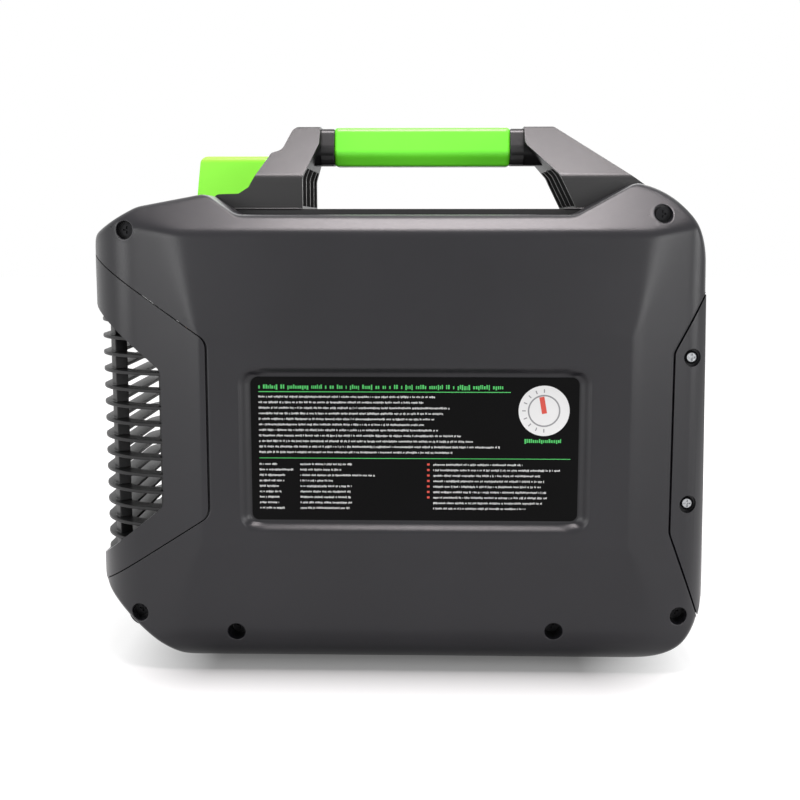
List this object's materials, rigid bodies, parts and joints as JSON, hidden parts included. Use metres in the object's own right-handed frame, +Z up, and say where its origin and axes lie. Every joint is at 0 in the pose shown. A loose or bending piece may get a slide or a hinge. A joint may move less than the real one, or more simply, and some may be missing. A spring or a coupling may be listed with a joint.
{
  "type": "refrigerant recovery machine",
  "caption": "Portable refrigerant recovery machine: moulded case with a hooped vent end, carrying handle, selector knob, push buttons, flare ports and a fan-cooled compressor inside.",
  "frame": {"origin": "on the ground under the middle of the case", "axes": "+X to the right as the rear label is read, -Y out of the label side, +Y out of the control side, +Z up"},
  "size_m": [0.3987, 0.224, 0.3555],
  "materials": {
    "case_plastic": "fine moulded texture",
    "trim_plastic": "satin black",
    "lime_plastic": "smooth lime green",
    "label_film": "black film",
    "display_glass": "clear window",
    "knob_white": "white inlay",
    "start_green": "green button",
    "stop_red": "red button",
    "zinc_steel": "zinc plated",
    "bare_steel": "bare steel",
    "cast_alloy": "cast",
    "fin_alloy": "thin sheet",
    "brass_fitting": "machined",
    "copper_tube": "drawn copper",
    "motor_paint": "black enamel",
    "foot_rubber": "moulded rubber",
    "circuit_green": "solder mask"
  },
  "bodies": {
    "case": {"rear_shell": "case_plastic", "front_shell": "case_plastic", "vent_frame": "case_plastic", "vent_grille": "trim_plastic", "end_cover": "case_plastic", "handle_bracket": "case_plastic", "handle_bar": "bare_steel", "handle_grip": "lime_plastic", "handle_screws": "zinc_steel", "display_hood": "lime_plastic", "display_lens": "display_glass", "display_board": "circuit_green", "rear_label": "label_film", "control_panel": "trim_plastic", "valve_block": "cast_alloy", "button_switches": "trim_plastic", "inlet_port": "brass_fitting", "outlet_port": "brass_fitting", "inlet_filter": "bare_steel", "power_inlet": "trim_plastic", "power_pins": "bare_steel", "switch_frame": "trim_plastic", "rubber_feet": "foot_rubber", "foot_screws": "zinc_steel", "chassis_tray": "zinc_steel", "vibration_mounts": "foot_rubber", "crankcase": "cast_alloy", "cylinder_barrels": "cast_alloy", "cylinder_heads": "cast_alloy", "head_bolts": "zinc_steel", "motor_housing": "motor_paint", "motor_bearings": "bare_steel", "fan_shroud": "trim_plastic", "condenser_fins": "fin_alloy", "condenser_tubes": "copper_tube", "suction_pipe": "copper_tube", "discharge_pipe": "copper_tube", "liquid_pipe": "copper_tube", "pressure_switch": "brass_fitting", "board_bracket": "zinc_steel", "board_spacers": "brass_fitting", "control_board": "circuit_green", "run_capacitor": "motor_paint", "shell_screws": "zinc_steel", "cover_screws": "zinc_steel"},
    "knob": {"control_knob": "trim_plastic", "knob_pointer": "knob_white", "valve_stem": "bare_steel"},
    "start": {"start_button": "start_green"},
    "stop": {"stop_button": "stop_red"},
    "rocker": {"power_rocker": "stop_red"},
    "rotor": {"motor_shaft": "bare_steel", "cooling_fan": "trim_plastic"}
  },
  "joints": [
    {"name": "knob_turn", "type": "hinge", "parent": "case", "child": "knob", "pos_m": [0.011, 0.1, 0.16], "axis": [0, 1, 0], "range_deg": [0, 180]},
    {"name": "start_press", "type": "slide", "parent": "case", "child": "start", "axis": [0, -1, 0], "range_m": [0, 0.002], "stiffness_N_per_m": 400, "springref_m": -0.002},
    {"name": "stop_press", "type": "slide", "parent": "case", "child": "stop", "axis": [0, -1, 0], "range_m": [0, 0.002], "stiffness_N_per_m": 400, "springref_m": -0.002},
    {"name": "power_rock", "type": "hinge", "parent": "case", "child": "rocker", "pos_m": [0.188, 0.03, 0.1], "axis": [0, -1, 0], "range_deg": [0, 20]},
    {"name": "fan_spin", "type": "hinge", "parent": "case", "child": "rotor", "pos_m": [-0.1, 0, 0.14], "axis": [1, 0, 0], "continuous": true}
  ]
}
